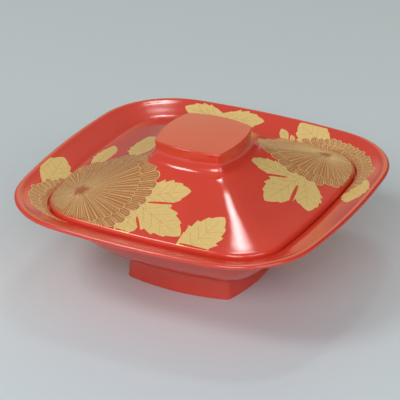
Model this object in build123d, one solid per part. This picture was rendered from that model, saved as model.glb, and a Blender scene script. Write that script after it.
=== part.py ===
from build123d import *
import os
from math import atan2, cos, pi, radians, sin, sqrt

# A square lacquered bowl with a loose lid. The origin is under the middle of the foot, on the table, +Z up.
# Every level outline is a square with bowed sides and round corners, so each carved form is a loft through
# such outlines, whose half-widths and heights follow a drawn profile. Lengths in mm, angles in degrees.

# Foot: a hollow square ring glued under the bowl
foot_width = 70.8
foot_height = 11.8
foot_taper = 2.4
foot_side_radius = 107.0
foot_corner_radius = 3.0
foot_wall = 6.0
foot_edge_round = 0.6

# Bowl outside: its base, the sweep where the belly turns into the flange, and the rim
base_width = 69.8
base_side_radius = 107.0
base_corner_radius = 4.0
base_slope = 26.0
sweep_width = 120.0
sweep_height = 33.6
sweep_side_radius = 330.0
sweep_corner_radius = 26.0
sweep_slope = 55.0
rim_width = 180.0
rim_height = 53.9
rim_side_radius = 410.0
rim_corner_radius = 45.0
lip_thickness = 2.8
flange_rise = 6.1
flange_slope = 15.0
underside_slope = 18.0

# Bowl inside: a rebate with a flat seat for the lid, and the hollow below it
rebate_depth = 2.4
mouth_edge_round = 0.5
seat_width = 7.4
seat_wall = 1.8
seat_wall_slope = 29.5
seat_edge_round = 0.8
floor_thickness = 4.2
floor_width = 50.0
floor_side_radius = 150.0
floor_corner_radius = 10.0
wall_slope = 42.0
spigot_height = 2.0
spigot_clearance = 0.1

# Lid: a thin roof with four soft ridges, on an upright edge that stands on the seat
lid_width = 141.6
lid_side_radius = 478.0
lid_corner_radius = 27.0
lid_clearance = 1.0
lid_edge_round = 1.8
lid_edge_lift = 3.3
lid_rise = 23.2
lid_wall = 3.4
lid_ring_width = 6.4
lid_ring_round = 0.8
lid_inner_round = 2.0
lid_inner_lift = 1.5
edge_slope = 17.0
crown_slope = 29.0
crown_width = 52.4
crown_side_radius = 72.0
crown_corner_radius = 6.0

# Knob: a low waisted square on the lid's crown, with a slightly domed top and a round peg below
knob_width = 46.4
knob_height = 12.6
knob_waist_width = 45.4
knob_waist_height = 6.6
knob_side_radius = 62.0
knob_corner_radius = 3.5
knob_flare = 10.0
knob_edge_round = 0.7
knob_top_radius = 330.0
peg_diameter = 16.0
peg_clearance = 0.1

# Points along each side and corner of an outline, and outlines along each stretch of a profile
SIDE_STEPS = 8
CORNER_STEPS = 6
PROFILE_STEPS = 6
LEVEL_TOLERANCE = 0.01

# Heights and widths that pieces share
flange_height = rim_height - flange_rise
seat_height = flange_height - rebate_depth
floor_height = foot_height + floor_thickness
crown_height = seat_height + lid_rise
mouth_width = lid_width + 2 * lid_clearance
foot_opening_width = foot_width - foot_taper - 2 * foot_wall

# Side and corner radii of the outlines
base_shape = (base_side_radius, base_corner_radius)
sweep_shape = (sweep_side_radius, sweep_corner_radius)
rim_shape = (rim_side_radius, rim_corner_radius)
mouth_shape = (lid_side_radius + lid_clearance, lid_corner_radius + lid_clearance)
hollow_shape = (lid_side_radius - seat_width, lid_corner_radius - seat_width)
floor_shape = (floor_side_radius, floor_corner_radius)
foot_shape = (foot_side_radius, foot_corner_radius)
foot_opening_shape = (foot_side_radius - foot_wall, foot_corner_radius)
crown_shape = (crown_side_radius, crown_corner_radius)
knob_shape = (knob_side_radius, knob_corner_radius)


def outline(width, side_radius, corner_radius, height):
    """A closed square outline with bowed sides and round corners, level at a height."""
    side_centre = width / 2 - side_radius
    reach = side_radius - corner_radius
    corner_centre = (side_centre + sqrt(2 * reach**2 - side_centre**2)) / 2
    swing = atan2(corner_centre, corner_centre - side_centre)
    arcs = [
        (side_centre, 0, side_radius, -swing, swing, SIDE_STEPS),
        (corner_centre, corner_centre, corner_radius, swing, pi / 2 - swing, CORNER_STEPS),
    ]
    points = []
    for quarter in range(4):
        for centre_x, centre_y, radius, start, end, steps in arcs:
            for step in range(steps):
                angle = start + (end - start) * step / steps
                point = Vector(centre_x + radius * cos(angle), centre_y + radius * sin(angle), height)
                points.append(point.rotate(Axis.Z, 90 * quarter))
    return Wire([Spline(points, periodic=True)])


def lofted(stations):
    """A solid through outlines, each given as (width, side radius, corner radius, height)."""
    return Solid.make_loft([outline(*station) for station in stations])


def raised(width, shape, height, length):
    """A straight prism of an outline, from a height upwards."""
    return Solid.extrude(Face(outline(width, *shape, height)), Vector(0, 0, length))


def heading(angle, length):
    """A step in the plane of a profile, at an angle up from level and outwards."""
    return Vector(length * cos(radians(angle)), length * sin(radians(angle)))


def smooth(start, start_angle, end, end_angle):
    """A profile curve between two points that leaves and arrives at the given angles."""
    pull = (end - start).length / 3
    return Bezier(start, start + heading(start_angle, pull), end - heading(end_angle, pull), end)


def between(start, end, share):
    return start + (end - start) * share


def along(curve, start_shape, end_shape):
    """Stations after the start of a profile curve, with side and corner radii going from start to end."""
    stations = []
    for step in range(1, PROFILE_STEPS + 1):
        share = step / PROFILE_STEPS
        point = curve @ share
        side_radius = between(start_shape[0], end_shape[0], share)
        corner_radius = between(start_shape[1], end_shape[1], share)
        stations.append((2 * point.X, side_radius, corner_radius, point.Y))
    return stations


def level_edges(part, height):
    """The part's edges that lie level at a height, shortest first."""
    low = height - LEVEL_TOLERANCE
    high = height + LEVEL_TOLERANCE
    return part.edges().filter_by_position(Axis.Z, low, high).sort_by(SortBy.LENGTH)


def make_bowl():
    # The outside, over the lip and down the flange to the mouth
    base_point = Vector(base_width / 2, foot_height)
    sweep_point = Vector(sweep_width / 2, sweep_height)
    seat_wall_point = Vector(mouth_width / 2, seat_height - seat_wall)
    mouth_point = Vector(mouth_width / 2, flange_height)
    lip_round = lip_thickness / 2
    lip_centre = (rim_width / 2 - lip_round, rim_height - lip_round)
    lip = CenterArc(lip_centre, lip_round, underside_slope - 90, 180 + flange_slope - underside_slope)
    belly = smooth(base_point, base_slope, sweep_point, sweep_slope)
    shoulder = smooth(sweep_point, sweep_slope, seat_wall_point, seat_wall_slope)
    underside = smooth(seat_wall_point, seat_wall_slope, lip @ 0, underside_slope)
    flange = Line(lip @ 1, mouth_point)
    stations = [(base_width, *base_shape, foot_height)]
    stations += along(belly, base_shape, sweep_shape)
    stations += along(shoulder, sweep_shape, mouth_shape)
    stations += along(underside, mouth_shape, rim_shape)
    stations += along(lip, rim_shape, rim_shape)
    stations += along(flange, rim_shape, mouth_shape)
    bowl = lofted(stations)

    # The rebate round the mouth, and the hollow below it
    bowl -= raised(mouth_width, mouth_shape, seat_height, flange_rise + rebate_depth)
    hollow_width = mouth_width - 2 * seat_width
    seat_point = Vector(hollow_width / 2, seat_height)
    floor_point = Vector(floor_width / 2, floor_height)
    wall = smooth(seat_point, 180 + wall_slope, floor_point, 180)
    bowl -= lofted([(hollow_width, *hollow_shape, seat_height)] + along(wall, hollow_shape, floor_shape))
    bowl = fillet(level_edges(bowl, flange_height), mouth_edge_round)
    bowl = fillet(level_edges(bowl, seat_height)[0], seat_edge_round)

    # A low spigot under the base that centres the foot
    spigot_width = foot_opening_width - 2 * spigot_clearance
    return bowl + raised(spigot_width, foot_opening_shape, foot_height - spigot_height, spigot_height)


def make_foot():
    foot = lofted([(foot_width, *foot_shape, 0), (foot_width - foot_taper, *foot_shape, foot_height)])
    foot -= raised(foot_opening_width, foot_opening_shape, 0, foot_height)
    return fillet(level_edges(foot, 0), foot_edge_round)


def dome(width, corner_radius, edge_round, edge_lift, top_width, top_height):
    """A roof on the seat: an upright edge, a round shoulder, and a slope with four soft ridges to a flat top."""
    edge_height = seat_height + edge_lift
    edge = CenterArc((width / 2 - edge_round, edge_height), edge_round, 0, 90 - edge_slope)
    slope = smooth(edge @ 1, 180 - edge_slope, Vector(top_width / 2, top_height), 180 - crown_slope)
    edge_shape = (lid_side_radius, corner_radius)
    stations = [(width, *edge_shape, edge_height)]
    stations += along(edge, edge_shape, edge_shape)
    for step in range(1, PROFILE_STEPS + 1):
        share = step / PROFILE_STEPS
        point = slope @ share
        # The ridges tighten early, and the sides bow only near the crown
        bow = between(1 / lid_side_radius, 1 / crown_side_radius, share**4)
        ridge_radius = between(crown_corner_radius, corner_radius, (1 - share) ** 2)
        stations.append((2 * point.X, 1 / bow, ridge_radius, point.Y))
    return raised(width, edge_shape, seat_height, edge_lift) + lofted(stations)


def make_lid():
    lid = dome(lid_width, lid_corner_radius, lid_edge_round, lid_edge_lift, crown_width, crown_height)
    lid -= dome(
        lid_width - 2 * lid_ring_width,
        lid_corner_radius - lid_ring_width,
        lid_inner_round,
        lid_inner_lift,
        crown_width - 2 * lid_wall,
        crown_height - lid_wall,
    )
    lid = fillet(level_edges(lid, seat_height)[0], lid_ring_round)
    return lid - Pos(0, 0, crown_height) * Cylinder(peg_diameter / 2 + peg_clearance, 2 * lid_wall)


def make_knob():
    base_point = Vector(crown_width / 2, crown_height)
    waist_point = Vector(knob_waist_width / 2, crown_height + knob_waist_height)
    top_point = Vector(knob_width / 2, crown_height + knob_height)
    cove = smooth(base_point, 180 - crown_slope, waist_point, 90)
    side = smooth(waist_point, 90, top_point, 90 - knob_flare)
    stations = [(crown_width, *crown_shape, crown_height)]
    stations += along(cove, crown_shape, knob_shape)
    stations += along(side, knob_shape, knob_shape)
    knob = lofted(stations)
    knob &= Pos(0, 0, crown_height + knob_height - knob_top_radius) * Sphere(knob_top_radius)
    upper_edges = knob.edges().filter_by_position(Axis.Z, waist_point.Y, top_point.Y)
    knob = fillet(upper_edges.sort_by(SortBy.LENGTH)[-1], knob_edge_round)
    return knob + Pos(0, 0, crown_height - lid_wall / 2) * Cylinder(peg_diameter / 2, lid_wall)


parts = {
    "bowl_body": make_bowl(),
    "foot_ring": make_foot(),
    "lid_body": make_lid(),
    "lid_knob": make_knob(),
}
os.makedirs("parts", exist_ok=True)
for name, part in parts.items():
    export_step(part, f"parts/{name}.step")
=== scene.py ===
import math
import random

import bpy
import numpy as np
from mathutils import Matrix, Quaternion, Vector
from mathutils.bvhtree import BVHTree
from mathutils.geometry import delaunay_2d_cdt
from mathutils.interpolate import poly_3d_calc


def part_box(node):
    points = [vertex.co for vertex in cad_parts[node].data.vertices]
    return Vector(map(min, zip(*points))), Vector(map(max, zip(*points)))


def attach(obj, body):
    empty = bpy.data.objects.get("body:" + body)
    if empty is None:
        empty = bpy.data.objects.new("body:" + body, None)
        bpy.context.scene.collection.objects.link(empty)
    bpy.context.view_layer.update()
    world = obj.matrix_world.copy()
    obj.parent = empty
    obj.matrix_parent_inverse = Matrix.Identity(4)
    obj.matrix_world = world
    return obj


# A square vermilion lacquer bowl and lid with gold chrysanthemums. The carved forms are the frame's own
# nodes. This script gives them their lacquer, lays the gold on them, and adds the stage, the lights and the
# camera. Scene lengths are in metres. The decoration is drawn in millimetres on a plan, seen from above.

MM = 0.001

# Plan outlines of the carved forms, as (side radius, corner radius) of a square with bowed sides
LID_SHAPE = (478.0, 27.0)
RIM_SHAPE = (410.0, 45.0)
CROWN_SHAPE = (72.0, 6.0)
MOUTH_GAP = 1.0
SIDE_POINTS = 48
CORNER_POINTS = 24

# How near the gold comes to the edges of the lid, the knob and the flange
LID_EDGE_MARGIN = 0.5
KNOB_MARGIN = 0.6
MOUTH_MARGIN = 0.6
RIM_MARGIN = 2.8

# Gold layers: how far they stand off the lacquer, how far their edges go down into it, and their meshes
LEAF_LIFT = 0.03
PETAL_LIFT = 0.07
LINE_RISE = 0.05
EDGE_SINK = 0.04
PETAL_LINE_WIDTH = 0.5
INNER_LINE_WIDTH = 0.36
VEIN_WIDTH = 0.22
GRID_STEP = 1.6
MERGE_DISTANCE = 0.0001

# Leaf lobes: how wide they are at the base beside their fullness, how pointed, and their teeth
LID_LEAF_NECK = 0.42
FLANGE_LEAF_NECK = 0.15
LEAF_FULLNESS = 1.9
LEAF_POINT = 0.88
TEETH = 6
TOOTH_POINTS = 25
TOOTH_ROOT = 0.93
TOOTH_HEIGHT = 0.21
TOOTH_HOOK = 1.3

# Veins as shares of a lobe: where the middle vein runs, and where the pairs of side veins leave it and end
MIDDLE_VEIN = (0.05, 0.88)
VEIN_PAIRS = 3
FIRST_PAIR = 0.2
PAIR_SPACING = 0.18
VEIN_FORWARD = 0.2
VEIN_REACH = 0.34
VEIN_CURVE = 1.2

# Slits between lobes: how much they thin towards the tail, and their fullness near the head
SLIT_TAPER = 0.75
SLIT_FULLNESS = 2.2

# Height above the table from which the plan is laid down on the surfaces, and the floor's half-width
PLAN_HEIGHT = 1.0
FLOOR_REACH = 12.0

# The view of the photograph: where the camera looks, from where, and its lens
CAMERA_TARGET = (0.0, 0.0, 0.05285)
CAMERA_DISTANCE = 1.5556
CAMERA_AZIMUTH = 26.87
CAMERA_ELEVATION = 26.77
CAMERA_LENS = 257.04
CAMERA_SENSOR = 36
CAMERA_SHIFT = (-0.0095, -0.05375)

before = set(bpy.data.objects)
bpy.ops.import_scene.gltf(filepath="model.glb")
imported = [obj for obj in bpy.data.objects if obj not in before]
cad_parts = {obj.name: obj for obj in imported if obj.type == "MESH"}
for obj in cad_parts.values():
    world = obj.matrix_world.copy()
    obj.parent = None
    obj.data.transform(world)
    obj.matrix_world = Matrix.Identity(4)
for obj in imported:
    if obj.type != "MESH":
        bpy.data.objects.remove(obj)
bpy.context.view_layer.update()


def bowed_square(width, shape, inset):
    """A closed plan outline: a square with bowed sides and round corners, drawn in by an inset."""
    side_radius = shape[0] - inset
    corner_radius = shape[1] - inset
    side_centre = width / 2 - inset - side_radius
    reach = side_radius - corner_radius
    corner_centre = (side_centre + math.sqrt(2 * reach**2 - side_centre**2)) / 2
    swing = math.atan2(corner_centre, corner_centre - side_centre)
    side_angles = np.linspace(-swing, swing, SIDE_POINTS, endpoint=False)
    corner_angles = np.linspace(swing, math.pi / 2 - swing, CORNER_POINTS, endpoint=False)
    arcs = [
        (side_centre, 0, side_radius, side_angles),
        (corner_centre, corner_centre, corner_radius, corner_angles),
    ]
    quarter = []
    for centre_x, centre_y, radius, angles in arcs:
        quarter += [(centre_x + radius * math.cos(a), centre_y + radius * math.sin(a)) for a in angles]
    points = np.array(quarter)
    turned = [points]
    for _ in range(3):
        points = np.column_stack((-points[:, 1], points[:, 0]))
        turned.append(points)
    return np.concatenate(turned)


def inside(points, outline):
    """Which points of the plan lie inside a closed outline."""
    x = points[:, :1]
    y = points[:, 1:]
    start = outline
    end = np.roll(outline, -1, axis=0)
    rise = end[:, 1] - start[:, 1]
    crosses = (start[:, 1] > y) != (end[:, 1] > y)
    run = np.where(rise == 0, 0, (end[:, 0] - start[:, 0]) / np.where(rise == 0, 1, rise))
    cuts = start[:, 0] + (y - start[:, 1]) * run
    return (crosses & (x < cuts)).sum(axis=1) % 2 == 1


class Ground:
    """The top of a node that takes gold, between two plan outlines."""

    def __init__(self, body, node, inner, outer):
        self.body = body
        self.inner = inner
        self.outer = outer
        self.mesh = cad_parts[node].data
        self.corner_normals = [corner.vector.copy() for corner in self.mesh.corner_normals]
        vertices = [vertex.co for vertex in self.mesh.vertices]
        self.tree = BVHTree.FromPolygons(vertices, [face.vertices for face in self.mesh.polygons])

    def holds(self, points):
        return inside(points, self.outer) & ~inside(points, self.inner)

    def place(self, x, y):
        """The point of the surface below a plan point, and the smooth normal there."""
        above = Vector((x * MM, y * MM, PLAN_HEIGHT))
        point, _, face, _ = self.tree.ray_cast(above, Vector((0, 0, -1)))
        polygon = self.mesh.polygons[face]
        corners = [self.mesh.vertices[index].co for index in polygon.vertices]
        weights = poly_3d_calc(corners, point)
        normal = Vector()
        for weight, loop in zip(weights, polygon.loop_indices):
            normal += weight * self.corner_normals[loop]
        return point, normal.normalized()


def make_piece(name, ground, vertices, faces, normals, material):
    """A mesh piece of gold that rides with the body that it lies on."""
    mesh = bpy.data.meshes.new(name)
    mesh.from_pydata(vertices, [], faces)
    mesh.polygons.foreach_set("use_smooth", [True] * len(mesh.polygons))
    if normals:
        mesh.normals_split_custom_set_from_vertices(normals)
    mesh.materials.append(material)
    piece = bpy.data.objects.new(name, mesh)
    bpy.context.scene.collection.objects.link(piece)
    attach(piece, ground.body)


def cover(shapes, holes, ground):
    """Plan points and triangles that cover closed shapes, less holes, where the ground takes gold."""
    points = []
    edges = []
    for outline in [*shapes, *holes, ground.inner, ground.outer]:
        first = len(points)
        count = len(outline)
        points += [tuple(point) for point in outline]
        edges += [(first + i, first + (i + 1) % count) for i in range(count)]
    for outline in shapes:
        low = outline.min(axis=0)
        high = outline.max(axis=0)
        columns = np.arange(low[0], high[0], GRID_STEP)
        rows = np.arange(low[1], high[1], GRID_STEP)
        grid = np.array([(x, y) for x in columns for y in rows])
        if len(grid):
            points += [tuple(point) for point in grid[inside(grid, outline)]]
    found = delaunay_2d_cdt([Vector(point) for point in points], edges, [], 0, MERGE_DISTANCE)
    places = np.array([tuple(point) for point in found[0]])
    triangles = np.array(found[2])
    middles = places[triangles].mean(axis=1)
    covered = np.zeros(len(middles), bool)
    for outline in shapes:
        covered |= inside(middles, outline)
    for outline in holes:
        covered &= ~inside(middles, outline)
    return places, triangles[covered & ground.holds(middles)]


def lay_sheet(name, shapes, holes, ground, lift, material):
    """A thin sheet of gold over plan shapes, with its edges turned down into the lacquer."""
    places, triangles = cover(shapes, holes, ground)
    used = sorted(set(triangles.ravel()))
    number = {old: new for new, old in enumerate(used)}
    vertices = []
    normals = []
    feet = []
    for old in used:
        point, normal = ground.place(*places[old])
        vertices.append(point + normal * lift * MM)
        feet.append(point - normal * EDGE_SINK * MM)
        normals.append(normal)
    faces = [tuple(number[old] for old in triangle) for triangle in triangles]
    sides = dict.fromkeys((face[i], face[(i + 1) % 3]) for face in faces for i in range(3))
    rim = [side for side in sides if side[::-1] not in sides]
    foot_number = {}
    for side in rim:
        for index in side:
            if index not in foot_number:
                foot_number[index] = len(vertices)
                vertices.append(feet[index])
                normals.append(normals[index])
    for start, end in rim:
        faces.append((end, start, foot_number[start], foot_number[end]))
    make_piece(name, ground, vertices, faces, normals, material)


def lay_lines(name, strokes, ground, lift, material):
    """Raised gold strokes on a sheet, each a plan path with its widths, broken off where no gold is taken."""
    vertices = []
    faces = []
    low = lift - EDGE_SINK
    high = lift + LINE_RISE
    for path, widths in strokes:
        steps = np.gradient(path, axis=0)
        across = np.column_stack((-steps[:, 1], steps[:, 0]))
        across *= widths[:, None] / 2 / np.linalg.norm(across, axis=1, keepdims=True)
        held = ground.holds(path) & ground.holds(path + across) & ground.holds(path - across)
        joined = False
        for place, side, is_held in zip(path, across, held):
            if not is_held:
                joined = False
                continue
            for offset, height in ((side, low), (0 * side, high), (-side, low)):
                point, normal = ground.place(*(place + offset))
                vertices.append(point + normal * height * MM)
            last = len(vertices) - 1
            if joined:
                faces.append((last - 5, last - 4, last - 1, last - 2))
                faces.append((last - 4, last - 3, last, last - 1))
            joined = True
    make_piece(name, ground, vertices, faces, None, material)


def node_material(name):
    material = bpy.data.materials.new(name)
    material.use_nodes = True
    nodes = material.node_tree.nodes
    return material, nodes, material.node_tree.links, nodes["Principled BSDF"]


def noise(nodes, links, scale, detail):
    """A noise texture fixed to the object, with its scale in features a metre."""
    coordinates = nodes.new("ShaderNodeTexCoord")
    texture = nodes.new("ShaderNodeTexNoise")
    texture.inputs["Scale"].default_value = scale
    texture.inputs["Detail"].default_value = detail
    links.new(coordinates.outputs["Object"], texture.inputs["Vector"])
    return texture.outputs["Fac"]


def ramp(nodes, links, value, stops):
    """Colours laid along a value, as (place, colour) stops."""
    blend = nodes.new("ShaderNodeValToRGB")
    elements = blend.color_ramp.elements
    for element, (place, colour) in zip(elements, stops):
        element.position = place
        element.color = (*colour, 1)
    links.new(value, blend.inputs["Fac"])
    return blend.outputs["Color"]


def spread(nodes, links, value, low, high):
    """A value from 0 to 1 mapped to a range."""
    mapping = nodes.new("ShaderNodeMapRange")
    mapping.inputs["To Min"].default_value = low
    mapping.inputs["To Max"].default_value = high
    links.new(value, mapping.inputs["Value"])
    return mapping.outputs["Result"]


def bumps(nodes, links, shader, value, height):
    """Bumps of a height in metres, where the value is high."""
    bump = nodes.new("ShaderNodeBump")
    bump.inputs["Strength"].default_value = 1.0
    bump.inputs["Distance"].default_value = height
    links.new(value, bump.inputs["Height"])
    links.new(bump.outputs["Normal"], shader.inputs["Normal"])


def vermilion_lacquer():
    """Polished vermilion lacquer: a clear gloss with a faint unevenness of colour and polish."""
    material, nodes, links, shader = node_material("vermilion_lacquer")
    cloud = noise(nodes, links, scale=28, detail=3)
    colour = ramp(nodes, links, cloud, [(0.3, (0.69, 0.05, 0.025)), (0.7, (0.75, 0.058, 0.029))])
    links.new(colour, shader.inputs["Base Color"])
    polish = noise(nodes, links, scale=90, detail=2)
    links.new(spread(nodes, links, polish, low=0.12, high=0.16), shader.inputs["Roughness"])
    shader.inputs["IOR"].default_value = 1.75
    return material


def leaf_gold():
    """Gold powder laid thickly and polished: satin, with a fine grain."""
    material, nodes, links, shader = node_material("leaf_gold")
    grains = noise(nodes, links, scale=1400, detail=4)
    colour = ramp(nodes, links, grains, [(0.3, (0.84, 0.58, 0.2)), (0.65, (0.96, 0.71, 0.28))])
    links.new(colour, shader.inputs["Base Color"])
    links.new(spread(nodes, links, grains, low=0.4, high=0.52), shader.inputs["Roughness"])
    bumps(nodes, links, shader, noise(nodes, links, scale=2600, detail=2), height=0.000008)
    shader.inputs["Metallic"].default_value = 0.4
    return material


def petal_ground(flowers):
    """Gold powder sprinkled thinly, so that the red below it shows through, most of all at the hearts."""
    material, nodes, links, shader = node_material("petal_ground")
    grains = noise(nodes, links, scale=2200, detail=2)
    colour = ramp(nodes, links, grains, [(0.3, (0.5, 0.185, 0.058)), (0.65, (0.62, 0.27, 0.092))])
    coordinates = nodes.new("ShaderNodeTexCoord")
    flat = nodes.new("ShaderNodeVectorMath")
    flat.operation = "MULTIPLY"
    flat.inputs[1].default_value = (1, 1, 0)
    links.new(coordinates.outputs["Object"], flat.inputs[0])
    for flower in flowers:
        away = nodes.new("ShaderNodeVectorMath")
        away.operation = "DISTANCE"
        away.inputs[1].default_value = (flower.centre[0] * MM, flower.centre[1] * MM, 0)
        links.new(flat.outputs["Vector"], away.inputs[0])
        fade = nodes.new("ShaderNodeMapRange")
        fade.interpolation_type = "SMOOTHSTEP"
        fade.inputs["From Max"].default_value = flower.HEART * flower.reach * MM
        fade.inputs["To Min"].default_value = 0.65
        fade.inputs["To Max"].default_value = 0.0
        links.new(away.outputs["Value"], fade.inputs["Value"])
        heart = nodes.new("ShaderNodeMix")
        heart.data_type = "RGBA"
        heart.inputs["B"].default_value = (0.5, 0.09, 0.04, 1)
        links.new(fade.outputs["Result"], heart.inputs["Factor"])
        links.new(colour, heart.inputs["A"])
        colour = heart.outputs["Result"]
    links.new(colour, shader.inputs["Base Color"])
    links.new(spread(nodes, links, grains, low=0.28, high=0.4), shader.inputs["Roughness"])
    shader.inputs["Metallic"].default_value = 0.3
    return material


def line_gold():
    """Fine drawn lines of bright gold."""
    material, nodes, links, shader = node_material("line_gold")
    grains = noise(nodes, links, scale=1500, detail=2)
    colour = ramp(nodes, links, grains, [(0.35, (0.9, 0.6, 0.26)), (0.6, (0.98, 0.74, 0.37))])
    links.new(colour, shader.inputs["Base Color"])
    links.new(spread(nodes, links, grains, low=0.35, high=0.45), shader.inputs["Roughness"])
    shader.inputs["Metallic"].default_value = 0.5
    return material


def axis_and_across(start, end):
    """The plan axis from one point to another, and the unit step to its left."""
    axis = np.array(end) - np.array(start)
    return axis, np.array((-axis[1], axis[0])) / np.linalg.norm(axis)


def both_sides(start, end, shares, half_widths):
    """The left and right edges of a shape along a plan axis, at shares of its length."""
    axis, across = axis_and_across(start, end)
    spine = np.array(start) + np.outer(shares, axis)
    offsets = half_widths[:, None] * across
    return spine + offsets, spine - offsets


def leaf_lobe(base, tip, width, neck):
    """One lobe of a leaf: broad in its middle, pointed, with teeth that point forwards."""
    shares = np.linspace(0, 1, TOOTH_POINTS * TEETH)
    swell = (neck + LEAF_FULLNESS * shares) * (1 - shares) ** LEAF_POINT
    bite = (shares * TEETH) % 1
    # The teeth begin at a quarter of the length and are full from the middle on
    growth = np.clip(4 * shares - 1.0, 0, 1)
    notches = TOOTH_ROOT + TOOTH_HEIGHT * bite**TOOTH_HOOK * growth
    half_widths = width / 2 * swell / swell.max() * notches
    left, right = both_sides(base, tip, shares, half_widths)
    return np.concatenate((left, right[-2::-1]))


def leaf_veins(base, tip, width):
    """The middle vein of a lobe, and pairs of side veins that leave it forwards."""
    axis, across = axis_and_across(base, tip)
    base = np.array(base)
    paths = [base + np.outer(np.linspace(*MIDDLE_VEIN, 24), axis)]
    out = np.linspace(0, 1, 12)
    for pair in range(VEIN_PAIRS):
        start = FIRST_PAIR + PAIR_SPACING * pair
        for side in (-1, 1):
            forward = np.outer(start + VEIN_FORWARD * out, axis)
            sideways = np.outer(side * VEIN_REACH * width * out**VEIN_CURVE, across)
            paths.append(base + forward + sideways)
    return [(path, np.full(len(path), VEIN_WIDTH)) for path in paths]


def leaf_slit(head, tail, width):
    """A teardrop of bare lacquer between two lobes, round at its head and thin at its tail."""
    shares = np.linspace(0, 1, 20)
    half_widths = width / 2 * np.sqrt(shares) * (1 - SLIT_TAPER * shares) * SLIT_FULLNESS
    left, right = both_sides(head, tail, shares, half_widths)
    return np.concatenate((left, right[:0:-1]))


class Flower:
    """A chrysanthemum in full bloom: rings of long round-tipped petals that reach further on one side."""

    # Each ring's tips and starts, as shares of the flower's reach, and the lines inside each of its petals
    RINGS = [(1.0, 0.76, (-0.5, 0, 0.5)), (0.8, 0.1, (0,))]
    PETALS = 44
    # How unevenly the petals are turned, as a share of their spacing, and how uneven their lengths are
    TURN_JITTER = 0.12
    JITTER = 0.035
    OVERLAP = 1.02
    # How far round each petal's tip the outline and the drawn line go, as shares of a half turn
    OUTLINE_TURN = 0.46
    LINE_TURN = 0.42
    # How the petals narrow towards the heart, how their lines thin, and where their inner lines run
    NARROWING = 0.9
    THINNING = 0.6
    INNER_START = 0.06
    INNER_END = 0.97
    # The reddish heart's radius, as a share of the reach
    HEART = 0.24

    def __init__(self, centre, reach, lean, towards, seed):
        self.centre = np.array(centre)
        self.reach = reach
        self.lean = lean
        self.towards = math.radians(towards)
        self.rings = []
        chance = random.Random(seed)
        for number, (tip_share, start_share, _) in enumerate(self.RINGS):
            petals = []
            for petal in range(self.PETALS):
                turn = petal + 0.5 * number + self.TURN_JITTER * chance.uniform(-1, 1)
                angle = 2 * math.pi * turn / self.PETALS
                tip = self.reach_at(angle) * tip_share * (1 + self.JITTER * chance.uniform(-1, 1))
                half_width = math.pi * tip / self.PETALS * self.OVERLAP
                start = self.reach_at(angle) * (start_share + self.JITTER * chance.uniform(-1, 1))
                petals.append((angle, tip, half_width, start))
            self.rings.append(petals)

    def reach_at(self, angle):
        return self.reach + self.lean * math.cos(angle - self.towards)

    def at(self, angle, radius, sideways):
        """The plan point at a radius along a petal's axis and a step sideways from it."""
        x = radius * math.cos(angle) - sideways * math.sin(angle)
        y = radius * math.sin(angle) + sideways * math.cos(angle)
        return self.centre + np.array((x, y))

    def round_tip(self, angle, tip, half_width, turn_share, count):
        """Points round a petal's tip, from one side to the other."""
        middle = tip - half_width
        points = []
        for turn in np.linspace(-turn_share * math.pi, turn_share * math.pi, count):
            radius = middle + half_width * math.cos(turn)
            points.append(self.at(angle, radius, half_width * math.sin(turn)))
        return points

    def outline(self):
        """The scalloped outline of the outer ring."""
        points = []
        for angle, tip, half_width, _ in self.rings[0]:
            points += self.round_tip(angle, tip, half_width, self.OUTLINE_TURN, 9)
        return np.array(points)

    def petal_lines(self):
        """Every petal's edge, round its tip and back, thin at its ends, and the lines inside it."""
        strokes = []
        for ring, (_, _, line_shares) in zip(self.rings, self.RINGS):
            for angle, tip, half_width, start in ring:
                middle = tip - half_width
                radii = np.linspace(start, middle, 9)
                side = [(radius, half_width * (radius / middle) ** self.NARROWING) for radius in radii]
                path = [self.at(angle, radius, -sideways) for radius, sideways in side]
                path += self.round_tip(angle, tip, half_width, self.LINE_TURN, 7)
                path += [self.at(angle, radius, sideways) for radius, sideways in reversed(side)]
                along = np.abs(np.linspace(-1, 1, len(path)))
                strokes.append((np.array(path), PETAL_LINE_WIDTH * (1 - self.THINNING * along**2)))
                radii = np.linspace(start + self.INNER_START * tip, self.INNER_END * tip, 12)
                for share in line_shares:
                    inner = [
                        self.at(angle, radius, share * half_width * (radius / middle) ** self.NARROWING)
                        for radius in radii
                    ]
                    strokes.append((np.array(inner), np.full(len(radii), INNER_LINE_WIDTH)))
        return strokes


def plan_width(node):
    low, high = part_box(node)
    return (high.x - low.x) / MM


def make_floor():
    """A plain pale floor that runs out to the horizon."""
    material, nodes, links, shader = node_material("floor_paper")
    tone = noise(nodes, links, scale=3, detail=2)
    colour = ramp(nodes, links, tone, [(0.3, (0.66, 0.745, 0.79)), (0.7, (0.68, 0.765, 0.81))])
    links.new(colour, shader.inputs["Base Color"])
    shader.inputs["Roughness"].default_value = 0.6
    corners = [(x * FLOOR_REACH, y * FLOOR_REACH, 0) for x, y in ((-1, -1), (1, -1), (1, 1), (-1, 1))]
    mesh = bpy.data.meshes.new("floor")
    mesh.from_pydata(corners, [], [(0, 1, 2, 3)])
    mesh.materials.append(material)
    floor = bpy.data.objects.new("floor", mesh)
    bpy.context.scene.collection.objects.link(floor)


def softbox(name, direction, distance, size, radiance, turn=0):
    """A rectangular light of a given surface brightness that faces the bowl, turned about its own axis."""
    data = bpy.data.lights.new(name, "AREA")
    data.shape = "RECTANGLE"
    data.size = size[0]
    data.size_y = size[1]
    data.energy = radiance * math.pi * size[0] * size[1]
    lamp = bpy.data.objects.new(name, data)
    away = Vector(direction).normalized()
    lamp.location = Vector(CAMERA_TARGET) + away * distance
    lamp.rotation_mode = "QUATERNION"
    lamp.rotation_quaternion = Quaternion(away, math.radians(turn)) @ away.to_track_quat("Z", "Y")
    bpy.context.scene.collection.objects.link(lamp)


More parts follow.
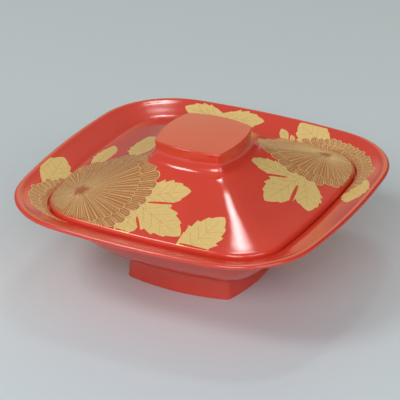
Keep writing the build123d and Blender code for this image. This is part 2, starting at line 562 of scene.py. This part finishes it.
def facing(nodes, links, direction, far, near, low, high):
    """A value for the surroundings that goes from low to high as they turn to face a direction."""
    coordinates = nodes.new("ShaderNodeTexCoord")
    likeness = nodes.new("ShaderNodeVectorMath")
    likeness.operation = "DOT_PRODUCT"
    likeness.inputs[1].default_value = Vector(direction).normalized()
    links.new(coordinates.outputs["Generated"], likeness.inputs[0])
    mapping = nodes.new("ShaderNodeMapRange")
    mapping.interpolation_type = "SMOOTHSTEP"
    mapping.inputs["From Min"].default_value = far
    mapping.inputs["From Max"].default_value = near
    mapping.inputs["To Min"].default_value = low
    mapping.inputs["To Max"].default_value = high
    links.new(likeness.outputs["Value"], mapping.inputs["Value"])
    return mapping.outputs["Result"]


def make_surroundings():
    """A dim studio with a bright warm screen behind the bowl on the left, and dark behind it on the right."""
    world = bpy.data.worlds.new("studio")
    bpy.context.scene.world = world
    world.use_nodes = True
    nodes = world.node_tree.nodes
    links = world.node_tree.links
    screen = facing(nodes, links, (-0.37, 0.82, 0.42), far=0.925, near=0.975, low=0.0, high=1.0)
    shade = facing(nodes, links, (0.7, 0.7, 0.1), far=0.5, near=0.9, low=1.0, high=0.15)
    colour = ramp(nodes, links, screen, [(0.0, (1.0, 0.99, 0.97)), (1.0, (1.0, 0.93, 0.58))])
    strength = nodes.new("ShaderNodeMath")
    strength.operation = "MULTIPLY"
    links.new(spread(nodes, links, screen, low=0.25, high=0.95), strength.inputs[0])
    links.new(shade, strength.inputs[1])
    background = nodes["Background"]
    links.new(colour, background.inputs["Color"])
    links.new(strength.outputs["Value"], background.inputs["Strength"])


def make_lights():
    """Two nested lights above that make the streak on the front ridge, and three broad ones in front."""
    overhead = (-0.122, 0.372, 0.92)
    softbox("overhead_core", overhead, distance=1.28, size=(0.13, 0.08), radiance=9.0, turn=33)
    softbox("overhead_glow", overhead, distance=1.3, size=(0.3, 0.13), radiance=6.5, turn=33)
    softbox("window", (-0.42, -0.5, 0.75), distance=1.6, size=(0.5, 0.4), radiance=10.0)
    softbox("key", (0.25, -0.8, 0.54), distance=1.8, size=(1.0, 0.5), radiance=7.4)
    softbox("right_fill", (0.8, -0.35, 0.48), distance=2.2, size=(1.2, 1.0), radiance=2.4)


def make_camera():
    azimuth = math.radians(CAMERA_AZIMUTH)
    elevation = math.radians(CAMERA_ELEVATION)
    level = math.cos(elevation)
    back = Vector((level * math.sin(azimuth), -level * math.cos(azimuth), math.sin(elevation)))
    data = bpy.data.cameras.new("camera")
    data.sensor_width = CAMERA_SENSOR
    data.lens = CAMERA_LENS
    data.shift_x = CAMERA_SHIFT[0]
    data.shift_y = CAMERA_SHIFT[1]
    camera = bpy.data.objects.new("camera", data)
    camera.location = Vector(CAMERA_TARGET) + back * CAMERA_DISTANCE
    camera.rotation_mode = "QUATERNION"
    camera.rotation_quaternion = back.to_track_quat("Z", "Y")
    bpy.context.scene.collection.objects.link(camera)
    bpy.context.scene.camera = camera


# The two flowers, each over a corner of the lid, and as far as they reach on the flange beside it
LEFT_FLOWER = (-50.6, -47.5)
RIGHT_FLOWER = (48.8, 55.1)
lid_flowers = [
    Flower(LEFT_FLOWER, reach=36.0, lean=6.0, towards=45, seed=3),
    Flower(RIGHT_FLOWER, reach=31.0, lean=10.0, towards=225, seed=8),
]
flange_flowers = [
    Flower(LEFT_FLOWER, reach=26.2, lean=3.4, towards=140, seed=3),
    Flower(RIGHT_FLOWER, reach=33.2, lean=11.5, towards=240, seed=8),
]

# Leaves on the lid and on the flange, as (base, tip, width) of each lobe
lid_lobes = [
    ((-17.0, -46.0), (10.5, -35.5), 16.5),
    ((-17.0, -49.0), (18.5, -64.0), 19.5),
    ((-15.0, -50.0), (-12.0, -73.0), 17.0),
    ((24.5, -74.0), (35.5, -45.5), 20.5),
    ((50.0, 16.0), (25.5, 4.5), 14.5),
    ((50.5, 19.0), (46.0, -19.0), 18.0),
    ((51.5, 19.0), (66.0, -7.0), 16.5),
    ((-60.0, -12.0), (-63.5, 14.5), 12.5),
    ((-33.0, -10.0), (-45.0, 21.0), 18.0),
]
flange_lobes = [
    ((-76.0, -40.0), (-82.0, -9.5), 16.0),
    ((40.5, 72.5), (17.5, 86.0), 17.0),
    ((16.0, 72.0), (9.0, 79.5), 4.8),
    ((20.5, 71.5), (16.5, 76.5), 2.8),
    ((-25.5, 77.5), (-52.0, 79.0), 12.5),
    ((-33.0, 76.0), (-3.0, 82.0), 13.5),
    ((77.0, 42.0), (79.5, 13.0), 14.0),
]

# Slits between the lobes of a leaf, as (head, tail, width)
lid_slits = [
    ((-9.5, -47.9), (6.5, -44.8), 1.5),
    ((-10.5, -58.0), (-4.2, -67.0), 1.5),
    ((45.5, 10.8), (34.5, -0.5), 1.7),
    ((52.0, 9.5), (56.5, -11.0), 2.0),
]

lacquer = vermilion_lacquer()
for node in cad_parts.values():
    node.data.materials.clear()
    node.data.materials.append(lacquer)

# The grounds for the gold: the lid round its knob, and the flange round the mouth
lid_width = plan_width("lid_body")
lid = Ground(
    "lid",
    "lid_body",
    bowed_square(plan_width("lid_knob"), CROWN_SHAPE, -KNOB_MARGIN),
    bowed_square(lid_width, LID_SHAPE, LID_EDGE_MARGIN),
)
flange = Ground(
    "bowl",
    "bowl_body",
    bowed_square(lid_width, LID_SHAPE, -MOUTH_GAP - MOUTH_MARGIN),
    bowed_square(plan_width("bowl_body"), RIM_SHAPE, RIM_MARGIN),
)

gold = leaf_gold()
bronze = petal_ground(lid_flowers)
bright = line_gold()
for ground, place, flowers, lobes, slits, neck in (
    (lid, "lid", lid_flowers, lid_lobes, lid_slits, LID_LEAF_NECK),
    (flange, "flange", flange_flowers, flange_lobes, [], FLANGE_LEAF_NECK),
):
    leaf_shapes = [leaf_lobe(base, tip, width, neck) for base, tip, width in lobes]
    bare = [leaf_slit(head, tail, width) for head, tail, width in slits]
    vein_strokes = []
    for base, tip, width in lobes:
        vein_strokes += leaf_veins(base, tip, width)
    petal_outlines = [flower.outline() for flower in flowers]
    petal_strokes = []
    for flower in flowers:
        petal_strokes += flower.petal_lines()
    lay_sheet(f"{place}_leaves", leaf_shapes, bare, ground, LEAF_LIFT, gold)
    lay_lines(f"{place}_leaf_veins", vein_strokes, ground, LEAF_LIFT, bronze)
    lay_sheet(f"{place}_petals", petal_outlines, [], ground, PETAL_LIFT, bronze)
    lay_lines(f"{place}_petal_lines", petal_strokes, ground, PETAL_LIFT, bright)

make_floor()
make_surroundings()
make_lights()
make_camera()
bpy.context.scene.view_settings.view_transform = "Standard"
